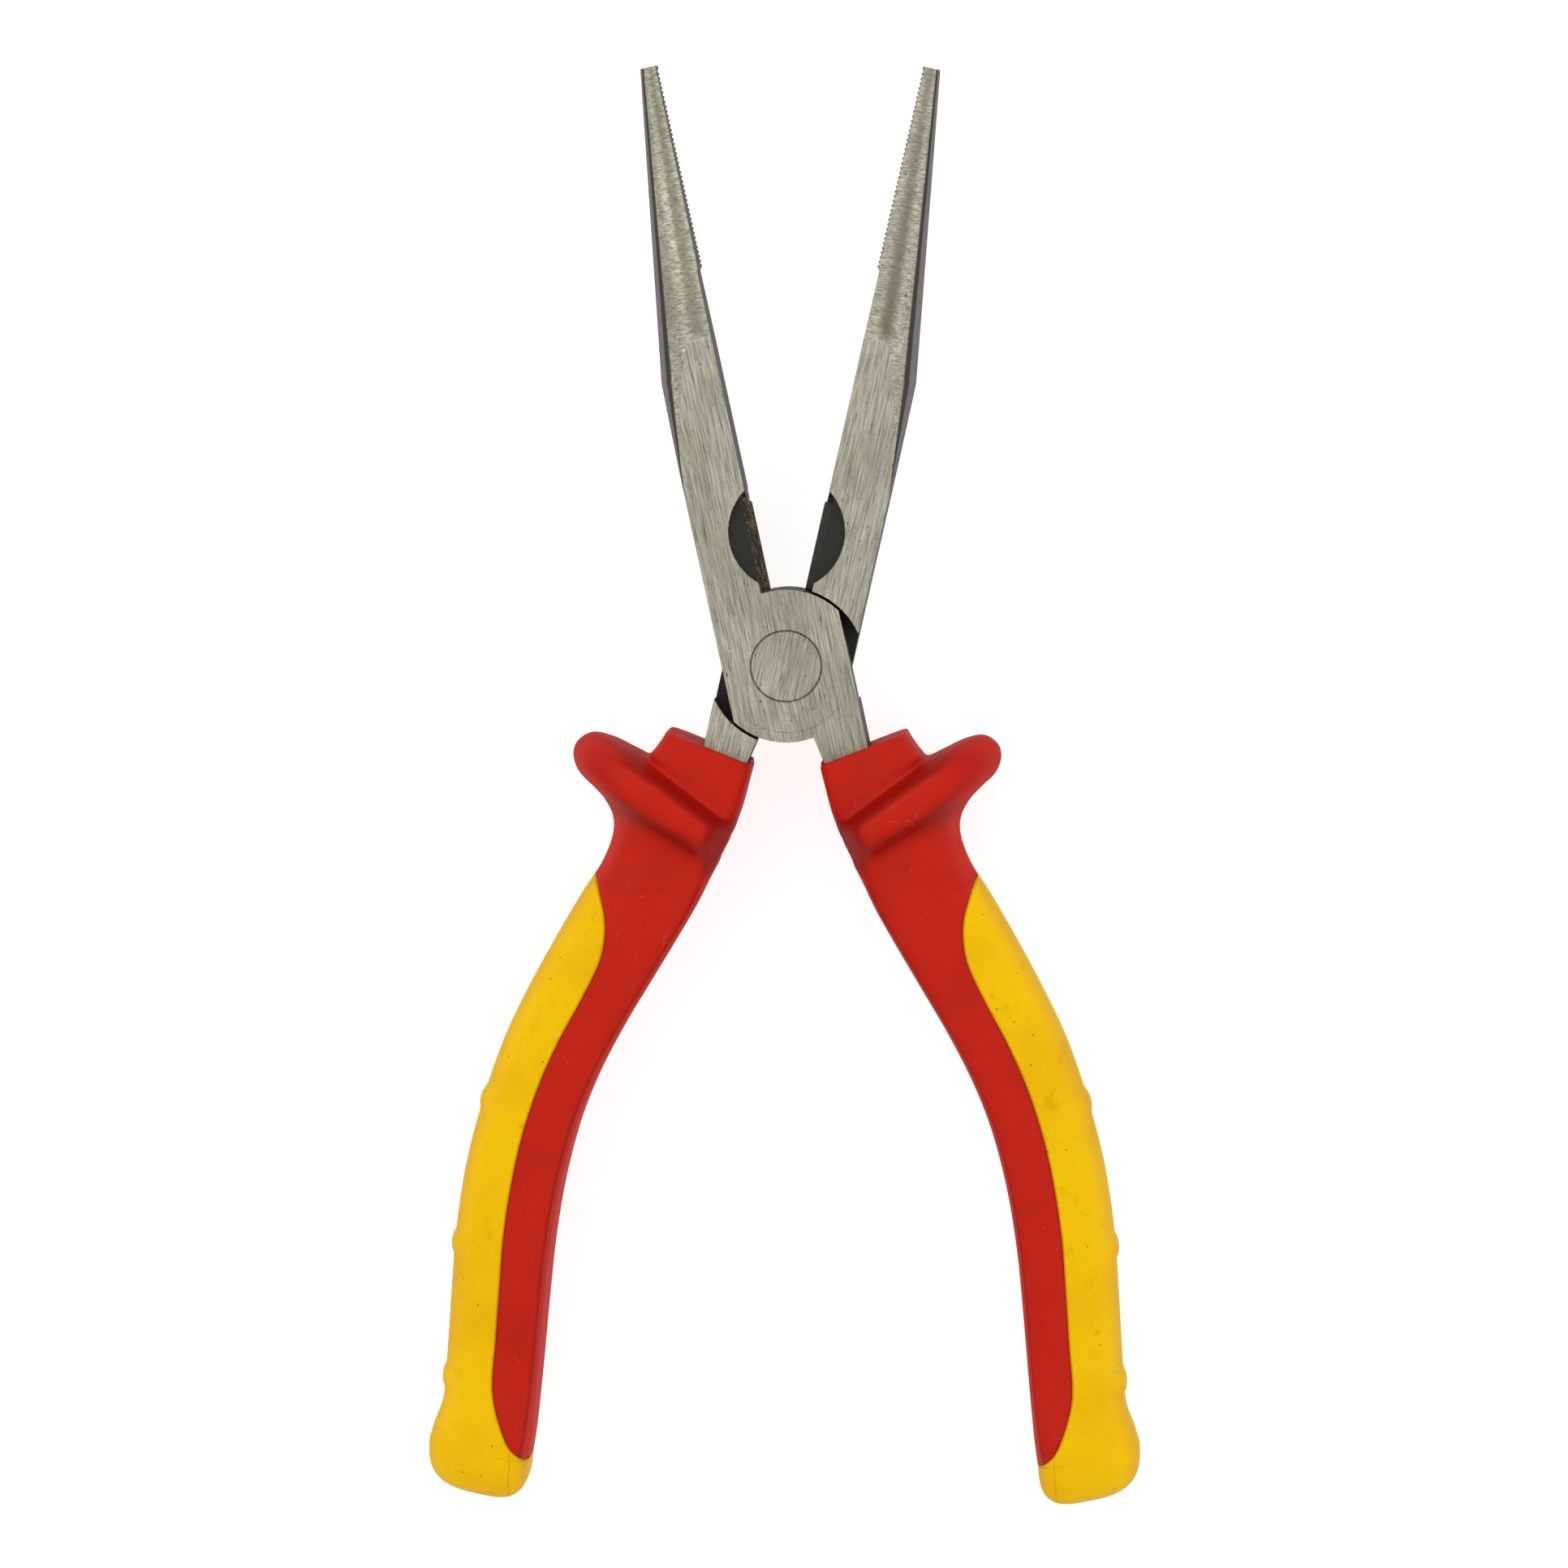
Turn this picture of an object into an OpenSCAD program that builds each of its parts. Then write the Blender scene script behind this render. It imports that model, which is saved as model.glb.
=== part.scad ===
// Insulated long nose pliers with side cutters: two lapped forgings on a rivet,
// each with an insulated two-colour handle. Millimetres. The origin is the
// centre of the joint, +Z runs along the rivet towards the front face, and +Y
// points at the jaw tips. Each half is drawn in its own frame, as it stands
// with the jaws shut, and then turned by half of the opening.

/* [Joint] */
// Angle between the gripping faces as the pliers lie open
opening = 25; // [10:0.2:40]
// Thickness of the forgings at the joint
plate_t = 9.8; // [9:0.1:10.4]
// Width of the joint across its two flat sides
joint_w = 16.9; // [16.4:0.1:18]
// Radius of the round lap of each half
lap_r = 10.25; // [10:0.05:10.6]
// Radius of the rivet's flush heads
rivet_head_r = 4.72; // [4.4:0.01:5]
// Radius of the rivet's shank
rivet_shank_r = 3.8; // [3:0.05:4.2]

/* [Jaws] */
// Distance from the rivet's axis to the jaw tips
jaw_len = 82; // [76:0.5:86]
// Width of one closed jaw at its tip
tip_w = 2.35; // [2:0.05:3]
// Thickness of a jaw at its tip
tip_t = 2.8; // [2.4:0.1:3.6]
// Distance between the teeth of the gripping face
tooth_pitch = 0.64; // [0.6:0.02:1]
// Depth of the teeth
tooth_depth = 0.24; // [0.15:0.01:0.35]
// Number of teeth on each jaw
teeth = 43; // [20:1:44]

/* [Handles] */
// Width of the steel tang inside a handle
tang_w = 6.2; // [5:0.1:6.6]
// Thickness of the steel tang inside a handle
tang_t = 7.4; // [6:0.1:8]
// Thickness of the inner insulating sleeve
sleeve_t = 0.7; // [0.5:0.05:0.8]
// Thickness of the soft grip over the hard handle
grip_t = 2.4; // [1.8:0.1:2.8]
// Height of the small ribs on the back of the soft grip
rib_h = 0.5; // [0.3:0.05:0.8]

/* [Hidden] */

half_t = plate_t / 2;
half_w = joint_w / 2;
// Radial gap between a lap and the shoulder that it turns in, and gap between the lap faces.
shoulder_gap = 0.36;
face_gap = 0.08;
// Running clearance of the rivet in the half that turns on it.
run_gap = 0.06;
head_depth = 2;
// The gripping faces stop this far from the middle plane when the jaws are shut.
grip_face = 0.06;
relief = 0.4;
teeth_top = jaw_len - 0.4;
teeth_end = teeth_top - teeth * tooth_pitch;

// Cutter: its edge runs beside the lap, in a round milled pocket on each face.
cutter_top = 22.3;
cutter_land = 0.12;
pocket_x = 4;
pocket_y = 17.6;
pocket_r = 8.05;
pocket_rim = 0.55;
pocket_slope = 14;
bevel_w = 1.15;
bevel_h = 3.3;

// Where the ground half-round of the jaw first reaches the flat face.
blend_y = 45;
blend_x = -3.1;
blend_r = 4.9;
// How far the half-round would stand past the jaw's outline at the tip.
tip_overhang = 0.15;
// Where the jaw's outer side leaves the joint's flat side.
waist_y = 40.5;

// Middle line of the steel tang, from the joint to its end.
tang_path = [[4.9, -11.5], [5.9, -16], [7.6, -21], [10, -27.5], [13, -36], [16.1, -45.5],
             [18.6, -55], [20.1, -64], [20.7, -73], [20.4, -82], [19.5, -90]];
tang_taper = 0.18;
tang_end = 1.5;
sleeve_start = 1.1;

// Stations of the handle, from the collar to the foot. Each holds the section's inner
// point, its outer point, its half thickness, the height of the guard's ridge, and how
// square its inner and outer sides are.
stations = [
    [1.55, -14.0, 13.7, -12.05, 7.4, 0.0, 8, 8],
    [1.65, -16.8, 14.2, -13.5, 7.5, 0.0, 8, 7],
    [1.75, -19.8, 15.0, -15.2, 7.5, 0.1, 7, 6],
    [2.0, -22.2, 15.9, -16.1, 7.4, 0.3, 6, 4],
    [2.1, -23.0, 18.55, -15.5, 7.4, 1.6, 6, 3],
    [2.2, -23.6, 21.45, -14.8, 7.5, 3.0, 6, 2.6],
    [2.4, -24.3, 23.85, -14.9, 7.6, 3.8, 6, 2.4],
    [2.5, -25.0, 25.35, -16.4, 7.6, 4.0, 6, 2.4],
    [2.7, -25.8, 25.45, -18.2, 7.7, 3.9, 6, 2.4],
    [2.9, -26.6, 24.35, -20.0, 7.7, 3.3, 6, 2.4],
    [3.1, -27.4, 22.15, -21.4, 7.8, 2.3, 6, 2.5],
    [3.2, -28.2, 20.1, -22.9, 7.8, 1.3, 6, 2.6],
    [3.5, -29.3, 18.45, -25.0, 7.8, 0.5, 6, 2.7],
    [3.95, -31.0, 17.9, -27.6, 8.0, 0.1, 6, 2.8],
    [4.9, -34.8, 18.5, -31.5, 8.3, 0.0, 7, 2.8],
    [6.55, -40.0, 20.15, -35.9, 8.6, 0.0, 7, 2.7],
    [8.65, -46.3, 22.25, -42.4, 8.8, 0.0, 7, 2.6],
    [10.85, -53.0, 24.35, -49.7, 8.9, 0.0, 7, 2.6],
    [12.7, -60.0, 26.1, -57.2, 9.0, 0.0, 7, 2.6],
    [13.8, -67.0, 27.1, -65.5, 9.0, 0.0, 7, 2.6],
    [14.1, -75.0, 27.5, -75.0, 9.0, 0.0, 7, 2.6],
    [13.7, -83.0, 26.9, -84.3, 9.0, 0.0, 7, 2.6],
    [12.8, -91.0, 25.7, -92.6, 8.9, 0.0, 7, 2.6],
    [11.7, -99.5, 24.4, -101.1, 8.8, 0.0, 7, 2.6],
    [11.0, -105.0, 23.6, -107.0, 8.9, 0.0, 6, 2.7],
    [10.5, -109.2, 24.0, -110.6, 9.2, 0.0, 5, 2.8],
    [10.2, -112.8, 24.2, -113.0, 9.3, 0.0, 4, 2.8]
];
last_station = len(stations) - 1;
// Share of the section's width that lies inside its middle.
middle = 0.44;
// The rounded foot: how far it reaches past the last station, and how square it is.
foot_len = 6;
foot_square = 3;
// How far the foot's end leans towards the inner side, as a share of its length.
foot_lean = 0.14;

// Edge of the soft grip on the front and back faces, from its point near the guard to
// its point at the foot.
grip_edge = [[19.5, -32.4], [17.9, -34.9], [16.2, -38.2], [15.5, -41.5], [15.6, -44.6],
             [16.8, -49.6], [18.5, -55.6], [19.8, -62], [20.5, -69], [20.5, -76], [20, -83],
             [19, -90], [17.9, -97.5], [17.3, -102], [16.5, -105], [14.9, -108.2],
             [12.9, -110.95], [10, -112.6]];
rib_spots = [19.05, 21.2, 23.45];

// A point of a smooth curve through the items of a list, t being 0 at its first item.
function curve(list, t) =
    let (n = len(list) - 1, i = min(floor(t), n - 1), f = t - i,
         a = list[max(i - 1, 0)], b = list[i], c = list[i + 1], d = list[min(i + 2, n)])
    0.5 * (2 * b + (c - a) * f + (2 * a - 5 * b + 4 * c - d) * f * f
           + (3 * b - a - 3 * c + d) * f * f * f);

function smooth_curve(list, steps) =
    [for (k = [0:steps * (len(list) - 1)]) curve(list, k / steps)];

// How much of the guard's ridge stands at a place across the section: none at its inner side.
function ridge_share(u) =
    let (f = min(max((u + 0.96) / 0.26, 0), 1)) f * f * (3 - 2 * f);

// Points round the handle at a place t along its stations, that much inside its surface.
function section(t, inset, points) =
    let (s = curve(stations, t), inner = [s[0], s[1]], across = [s[2], s[3]] - inner,
         w = norm(across), e = across / w, mid = inner + e * w * middle)
    [for (k = [0:points - 1])
        let (v = 360 * (k + 0.5) / points, m = cos(v) > 0 ? s[7] : s[6],
             u = sign(cos(v)) * pow(abs(cos(v)), 2 / m),
             a = (cos(v) > 0 ? 1 - middle : middle) * w - inset,
             z = sign(sin(v)) * pow(abs(sin(v)), 2 / m))
        [mid.x + e.x * u * a, mid.y + e.y * u * a, z * (s[4] - inset + s[5] * ridge_share(u))]];

// The last section, shrunk and moved out to close the rounded foot.
function foot_section(turn, inset, points) =
    let (ring = section(last_station, inset, points), s = stations[last_station],
         e = [s[2] - s[0], s[3] - s[1]] / norm([s[2] - s[0], s[3] - s[1]]),
         mid = [s[0] + (s[2] - s[0]) / 2, s[1] + (s[3] - s[1]) / 2, 0],
         out = (foot_len - inset) * sin(turn), share = pow(1 - pow(sin(turn), foot_square),
                                                         1 / foot_square))
    [for (p = ring) mid + (p - mid) * share
        + [e.y - foot_lean * e.x, -e.x - foot_lean * e.y, 0] * out];

// A closed solid through rings that all have the same number of points.
module skin(rings) {
    n = len(rings[0]);
    last = len(rings) - 1;
    faces = concat(
        [[for (k = [0:n - 1]) k]],
        [for (r = [0:last - 1], k = [0:n - 1])
            [r * n + k, (r + 1) * n + k, (r + 1) * n + (k + 1) % n, r * n + (k + 1) % n]],
        [[for (k = [n - 1:-1:0]) last * n + k]]);
    polyhedron([for (r = rings) each r], faces, convexity = 8);
}

module handle_form(inset, steps, points, start = 0) {
    skin(concat(
        [for (k = [start * steps:steps * last_station]) section(k / steps, inset, points)],
        [for (turn = [25, 48, 66, 80, 87]) foot_section(turn, inset, points)]));
}

// Everything on the soft grip's side of its edge.
module grip_zone() {
    linear_extrude(height = 40, center = true)
        polygon(concat(smooth_curve(grip_edge, 3), [[4, -113], [4, -125], [40, -125], [40, -25],
                                                    [21, -29.8]]));
}

function tang_along(t) =
    let (n = len(tang_path) - 1,
         d = curve(tang_path, min(t + 0.05, n)) - curve(tang_path, max(t - 0.05, 0)))
    d / norm(d);

// The tang's edge on one side, side being 1 or -1, from a place along its path to its end.
function tang_edge(first, half, side) =
    let (n = len(tang_path) - 1, steps = 28)
    [for (k = [0:steps]) let (t = first + (n - first) * k / steps, d = tang_along(t))
        curve(tang_path, t) + side * [-d.y, d.x] * half * (1 - tang_taper * t / n)];

// The steel tang's outline, grown by a thickness all round.
module tang_outline(grow, first) {
    past = tang_along(len(tang_path) - 1) * (tang_end + grow);
    left = tang_edge(first, tang_w / 2 + grow, 1);
    right = tang_edge(first, tang_w / 2 + grow, -1);
    last = len(left) - 1;
    polygon(concat(left, [left[last] + past, right[last] + past],
                   [for (k = [last:-1:0]) right[k]]));
}

// Side view of the tang: full thickness at the joint, then thinner inside the handle.
module tang_side(grow) {
    full = half_t + grow;
    thin = tang_t / 2 + grow;
    rotate([90, 0, 90]) linear_extrude(height = 80, center = true)
        polygon([[0, -full], [-24, -full], [-34, -thin], [-110, -thin],
                 [-110, thin], [-34, thin], [-24, full], [0, full]]);
}

module tang(grow = 0, first = 0) {
    intersection() {
        linear_extrude(height = 30, center = true) tang_outline(grow, first);
        tang_side(grow);
    }
}

// Plan of one jaw, from the middle of the joint to its tip, with its teeth.
module jaw_plan() {
    polygon(concat(
        [[-grip_face, 0], [-grip_face, cutter_top], [-grip_face - relief, cutter_top + relief],
         [-grip_face - relief, teeth_end]],
        [for (k = [teeth - 1:-1:0], side = [1, 0])
            [-grip_face - side * tooth_depth, teeth_top - (k + side / 2) * tooth_pitch]],
        [[-grip_face, jaw_len], [-tip_w, jaw_len], [-half_w, waist_y], [-half_w, 0]]));
}

// The half-round form that the jaws are ground to: a cone on the outer side, and flat
// slopes from its crest to the gripping face.
module jaw_grind() {
    tip_dist = jaw_len - blend_y;
    slope = (blend_r - tip_t / 2) / tip_dist;
    lean = -atan2(tip_t / 2 - tip_w - tip_overhang - blend_x, tip_dist);
    root = 62;
    root_r = blend_r + slope * root;
    end_r = tip_t / 2 - slope;
    translate([blend_x, blend_y, 0]) rotate([0, 0, lean]) {
        translate([0, -root, 0]) rotate([-90, 0, 0])
            cylinder(h = root + tip_dist + 1, r1 = root_r, r2 = end_r, $fn = 120);
        rotate([90, 0, 90]) linear_extrude(height = 16)
            polygon([[-root, -root_r], [tip_dist + 1, -end_r], [tip_dist + 1, end_r],
                     [-root, root_r]]);
    }
}

// What the milled pocket and the ground bevel remove from one face of the cutter.
module cutter_cut() {
    translate([pocket_x - pocket_r, pocket_y, half_t - pocket_rim]) rotate([0, pocket_slope, 0])
        translate([pocket_r, 0, 0]) cylinder(h = 12, r = pocket_r, $fn = 96);
    translate([0, cutter_top + relief, 0]) rotate([90, 0, 0])
        linear_extrude(height = cutter_top + relief)
        polygon([[-grip_face, cutter_land], [-grip_face - bevel_w, cutter_land + bevel_h],
                 [-grip_face - bevel_w, plate_t], [1, plate_t], [1, cutter_land]]);
}

// One steel half in its own frame, its lap on the +Z side.
module forging_form() {
    difference() {
        union() {
            difference() {
                intersection() {
                    linear_extrude(height = plate_t, center = true) jaw_plan();
                    jaw_grind();
                }
                cutter_cut();
                mirror([0, 0, 1]) cutter_cut();
            }
            intersection() {
                cylinder(h = plate_t, r = lap_r, center = true, $fn = 160);
                cube([joint_w, 3 * lap_r, plate_t], center = true);
            }
            linear_extrude(height = plate_t, center = true)
                polygon([[1.3, -6], [1.6, -10.3], [2.3, -14], [3.2, -16], [8.4, -16],
                         [half_w - 0.05, -13], [half_w, -3]]);
            tang(first = 1);
        }
        translate([0, 0, -plate_t + face_gap / 2])
            cylinder(h = plate_t, r = lap_r + shoulder_gap, $fn = 160);
    }
}

// The rivet: a flush head at each face and the shank between them.
module rivet_form(gap) {
    cylinder(h = plate_t, r = rivet_shank_r + gap, center = true, $fn = 96);
    for (side = [0, 1]) mirror([0, 0, side])
        translate([0, 0, half_t - head_depth - gap])
            cylinder(h = head_depth + gap, r = rivet_head_r + gap, $fn = 96);
}

// The sleeve moulded straight onto the tang, closed at its end.
module sleeve_form() {
    difference() {
        tang(sleeve_t, sleeve_start);
        tang(first = 1);
    }
}

// What the hard handle leaves free for the steel: a tight cavity for the sleeve, and a
// slightly open mouth round the tang at the collar.
module handle_cavity() {
    tang(sleeve_t, sleeve_start);
    linear_extrude(height = plate_t + 0.7, center = true)
        polygon([[1.85, -12], [2.2, -15], [3.0, -18.5], [9.8, -18.5], [9.1, -15], [9, -10]]);
}

module shell_form() {
    difference() {
        handle_form(0, 2, 28);
        difference() {
            grip_zone();
            handle_form(grip_t, 1, 20, 1);
        }
        handle_cavity();
    }
}

module grip_form() {
    difference() {
        intersection() {
            handle_form(0, 2, 28);
            grip_zone();
        }
        handle_form(grip_t, 1, 20, 1);
    }
    for (t = rib_spots) {
        s = curve(stations, t);
        translate([s[2] - 0.5, s[3], -5]) cylinder(h = 10, r = 0.5 + rib_h, $fn = 24);
    }
}

module front() { translate([0, 0, half_t]) rotate([0, 0, opening / 2]) children(); }
module back() {
    translate([0, 0, half_t]) rotate([0, 0, -opening / 2]) rotate([0, 180, 0]) children();
}

module front_forging() {
    color("#a3a296") front() difference() {
        forging_form();
        rivet_form(run_gap);
    }
}
module back_forging() {
    color("#a3a296") back() difference() {
        forging_form();
        rivet_form(0);
    }
}
module pivot_rivet() { color("#9fa198") back() rivet_form(0); }
module front_inner_sleeve() { color("#d8b414") front() sleeve_form(); }
module back_inner_sleeve() { color("#d8b414") back() sleeve_form(); }
module front_handle_shell() { color("#c0271b") front() shell_form(); }
module back_handle_shell() { color("#c0271b") back() shell_form(); }
module front_soft_grip() { color("#f6c304") front() grip_form(); }
module back_soft_grip() { color("#f6c304") back() grip_form(); }

front_forging();
front_inner_sleeve();
front_handle_shell();
front_soft_grip();
back_forging();
back_inner_sleeve();
back_handle_shell();
back_soft_grip();
pivot_rivet();
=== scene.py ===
"""Insulated long nose pliers, lying open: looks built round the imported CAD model.

The steel keeps its CAD shape. Each handle is two moulded pieces, made here as fine skins
with a groove where the two colours meet. Lengths are millimetres up to the stage, which is
in metres.
"""
import math
from types import SimpleNamespace

import bmesh
import bpy
import numpy as np
from mathutils import Matrix, Vector
from mathutils.kdtree import KDTree


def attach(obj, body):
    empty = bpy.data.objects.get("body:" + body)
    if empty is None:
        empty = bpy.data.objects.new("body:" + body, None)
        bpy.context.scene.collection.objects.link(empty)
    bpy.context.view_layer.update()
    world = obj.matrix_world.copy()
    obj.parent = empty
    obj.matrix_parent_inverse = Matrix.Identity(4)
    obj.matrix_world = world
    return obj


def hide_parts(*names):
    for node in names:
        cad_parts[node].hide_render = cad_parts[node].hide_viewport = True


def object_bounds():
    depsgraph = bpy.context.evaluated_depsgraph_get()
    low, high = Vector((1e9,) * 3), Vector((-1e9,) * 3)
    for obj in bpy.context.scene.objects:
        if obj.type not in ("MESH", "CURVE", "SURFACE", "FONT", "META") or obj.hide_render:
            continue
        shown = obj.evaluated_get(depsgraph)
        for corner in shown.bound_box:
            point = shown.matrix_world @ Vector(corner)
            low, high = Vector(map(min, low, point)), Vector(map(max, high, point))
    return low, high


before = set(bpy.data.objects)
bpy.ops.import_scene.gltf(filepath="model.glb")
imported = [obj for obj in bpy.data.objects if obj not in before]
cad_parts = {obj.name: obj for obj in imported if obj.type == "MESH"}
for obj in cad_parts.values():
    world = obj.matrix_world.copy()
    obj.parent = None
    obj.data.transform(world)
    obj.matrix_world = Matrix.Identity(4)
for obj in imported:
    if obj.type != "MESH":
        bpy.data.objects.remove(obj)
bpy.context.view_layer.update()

MM = 0.001
HALF_OPENING_DEG = 12.5
MID_PLANE = 4.9
# How each half is turned from the pose that both are drawn in: over about Y, then about Z.
HALVES = {"front": (0.0, HALF_OPENING_DEG), "back": (180.0, -HALF_OPENING_DEG)}

# --- handle form ----------------------------------------------------------------
# Each row: inner point, outer point, half thickness, height of the guard's ridge, and how
# square the inner and the outer side are.
STATIONS = np.array([
    [1.55, -14.0, 13.7, -12.05, 7.4, 0.0, 8, 8],
    [1.65, -16.8, 14.2, -13.5, 7.5, 0.0, 8, 7],
    [1.75, -19.8, 15.0, -15.2, 7.5, 0.1, 7, 6],
    [2.0, -22.2, 15.9, -16.1, 7.4, 0.3, 6, 4],
    [2.1, -23.0, 18.55, -15.5, 7.4, 1.6, 6, 3],
    [2.2, -23.6, 21.45, -14.8, 7.5, 3.0, 6, 2.6],
    [2.4, -24.3, 23.85, -14.9, 7.6, 3.8, 6, 2.4],
    [2.5, -25.0, 25.35, -16.4, 7.6, 4.0, 6, 2.4],
    [2.7, -25.8, 25.45, -18.2, 7.7, 3.9, 6, 2.4],
    [2.9, -26.6, 24.35, -20.0, 7.7, 3.3, 6, 2.4],
    [3.1, -27.4, 22.15, -21.4, 7.8, 2.3, 6, 2.5],
    [3.2, -28.2, 20.1, -22.9, 7.8, 1.3, 6, 2.6],
    [3.5, -29.3, 18.45, -25.0, 7.8, 0.5, 6, 2.7],
    [3.95, -31.0, 17.9, -27.6, 8.0, 0.1, 6, 2.8],
    [4.9, -34.8, 18.5, -31.5, 8.3, 0.0, 7, 2.8],
    [6.55, -40.0, 20.15, -35.9, 8.6, 0.0, 7, 2.7],
    [8.65, -46.3, 22.25, -42.4, 8.8, 0.0, 7, 2.6],
    [10.85, -53.0, 24.35, -49.7, 8.9, 0.0, 7, 2.6],
    [12.7, -60.0, 26.1, -57.2, 9.0, 0.0, 7, 2.6],
    [13.8, -67.0, 27.1, -65.5, 9.0, 0.0, 7, 2.6],
    [14.1, -75.0, 27.5, -75.0, 9.0, 0.0, 7, 2.6],
    [13.7, -83.0, 26.9, -84.3, 9.0, 0.0, 7, 2.6],
    [12.8, -91.0, 25.7, -92.6, 8.9, 0.0, 7, 2.6],
    [11.7, -99.5, 24.4, -101.1, 8.8, 0.0, 7, 2.6],
    [11.0, -105.0, 23.6, -107.0, 8.9, 0.0, 6, 2.7],
    [10.5, -109.2, 24.0, -110.6, 9.2, 0.0, 5, 2.8],
    [10.2, -112.8, 24.2, -113.0, 9.3, 0.0, 4, 2.8],
])
LAST = len(STATIONS) - 1
# Share of the section's width that lies inside its middle.
MIDDLE = 0.44
# Across the section, the ridge starts here and stands in full one span further out.
RIDGE_START = -0.96
RIDGE_SPAN = 0.26
FOOT_LEN = 6.0
FOOT_SQUARE = 3.0
FOOT_LEAN = 0.14
GRIP_EDGE = np.array([
    [19.5, -32.4], [17.9, -34.9], [16.2, -38.2], [15.5, -41.5], [15.6, -44.6], [16.8, -49.6],
    [18.5, -55.6], [19.8, -62], [20.5, -69], [20.5, -76], [20, -83], [19, -90],
    [17.9, -97.5], [17.3, -102], [16.5, -105], [14.9, -108.2],
    [12.9, -110.95], [10, -112.6]])
# The domed ribs: their places, height and half width, the power that shapes their dome, how
# far they run to both sides of the mid plane, and the length over which they fade out there.
RIB_STATIONS = (19.05, 21.2, 23.45)
RIB_HEIGHT = 0.42
RIB_REACH = 1.5
RIB_DOME = 1.3
RIB_SPAN = 7.6
RIB_FADE = 2.5
COLLAR_ROUND = 0.55
COLLAR_DEPTH_PER_STATION = 2.1
# The hole in the collar's end, with a short straight lip.
TANG_MOUTH = {"from_inner": 3.75, "half_w": 3.25, "half_t": 5.15, "square": 14, "depth": 2.5}
MOUTH_LIP = 0.12
# Where the rings of the collar's flat face lie, from the mouth to the rim.
FACE_RINGS = (0.03, 0.5, 0.97)
GROOVE_DEPTH = 0.24
GROOVE_WIDTH = 0.2
# Width of the painted shade line in the groove.
GROOVE_LINE = 0.15
RED_THICKNESS = 0.35
YELLOW_THICKNESS = 0.9

# --- how finely the skins are drawn -----------------------------------------------
YELLOW_COLUMNS = 88
RED_COLUMNS = 120
# How strongly the columns crowd towards the groove, 1 being the most.
EASE = 0.93
# Steps and stretches are counted in stations.
ROW_STEP = 0.075
LEAST_ROW_STEP = 0.004
COLLAR_ROWS = 9
COLLAR_STRETCH = 0.3
EDGE_ROWS = 18
EDGE_STRETCH = 0.9
FOOT_ROWS = 26
EDGE_POINTS = 900
SEARCH_PLACES = 6000
GROOVE_PLACES = 4000
NORMAL_STEP = 1e-3
# In metres: corners this near each other are one, and edges this short are left out.
MERGE_DISTANCE = 1e-6
SHORTEST_EDGE = 1e-7


def catmull(table, t):
    """Points of a smooth curve through the rows of a table, t being 0 at its first row."""
    n = len(table) - 1
    i = np.clip(np.floor(t).astype(int), 0, n - 1)
    f = (t - i)[:, None]
    a, b = table[np.maximum(i - 1, 0)], table[i]
    c, d = table[i + 1], table[np.minimum(i + 2, n)]
    return 0.5 * (2 * b + (c - a) * f + (2 * a - 5 * b + 4 * c - d) * f ** 2
                  + (3 * b - a - 3 * c + d) * f ** 3)


def smooth(x):
    x = np.clip(x, 0, 1)
    return x * x * (3 - 2 * x)


def collar_inset(t):
    """How far the collar's rounded end is drawn in, at places along the stations."""
    left = np.clip(COLLAR_ROUND - t * COLLAR_DEPTH_PER_STATION, 0, COLLAR_ROUND)
    return COLLAR_ROUND - np.sqrt(COLLAR_ROUND ** 2 - left ** 2)


def rounded_square(angle, square):
    """Distance from the middle to the edge of a rounded square, at an angle."""
    return (np.abs(np.cos(angle)) ** square + np.abs(np.sin(angle)) ** square) ** (-1 / square)


def close_foot(points, t, e):
    """The last section shrunk and moved out past its place, to close the rounded foot."""
    turn = np.clip(t - LAST, 0, 1) * np.pi / 2
    share = (1 - np.sin(turn) ** FOOT_SQUARE) ** (1 / FOOT_SQUARE)
    centre = np.append((STATIONS[LAST, 0:2] + STATIONS[LAST, 2:4]) / 2, 0)
    along = np.array([e[-1, 1] - FOOT_LEAN * e[-1, 0], -e[-1, 0] - FOOT_LEAN * e[-1, 1], 0])
    foot = centre + (points - centre) * share[:, None, None]
    foot = foot + along * (FOOT_LEN * np.sin(turn))[:, None, None]
    return np.where((t > LAST)[:, None, None], foot, points)


def handle_surface(t, angle):
    """Points of the handle's skin; t is a column of places, angle a row or a full grid."""
    t = np.asarray(t, float)
    angle = np.broadcast_to(angle, (len(t), np.shape(angle)[-1]))
    s = catmull(STATIONS, np.minimum(t, LAST))
    across = s[:, 2:4] - s[:, 0:2]
    width = np.linalg.norm(across, axis=1)[:, None]
    e = across / width
    mid = s[:, 0:2] + e * width * MIDDLE
    outer = np.cos(angle) > 0
    radius = rounded_square(angle, np.where(outer, s[:, 7:8], s[:, 6:7]))
    inset = collar_inset(t)[:, None]
    reach = np.where(outer, 1 - MIDDLE, MIDDLE) * width - inset
    u = radius * np.cos(angle)
    ridge = smooth((u - RIDGE_START) / RIDGE_SPAN)
    z = radius * np.sin(angle) * (s[:, 4:5] - inset + s[:, 5:6] * ridge)
    xy = mid[:, None, :] + e[:, None, :] * (u * reach)[..., None]
    return close_foot(np.concatenate([xy, z[..., None]], axis=2), t, e)


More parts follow.
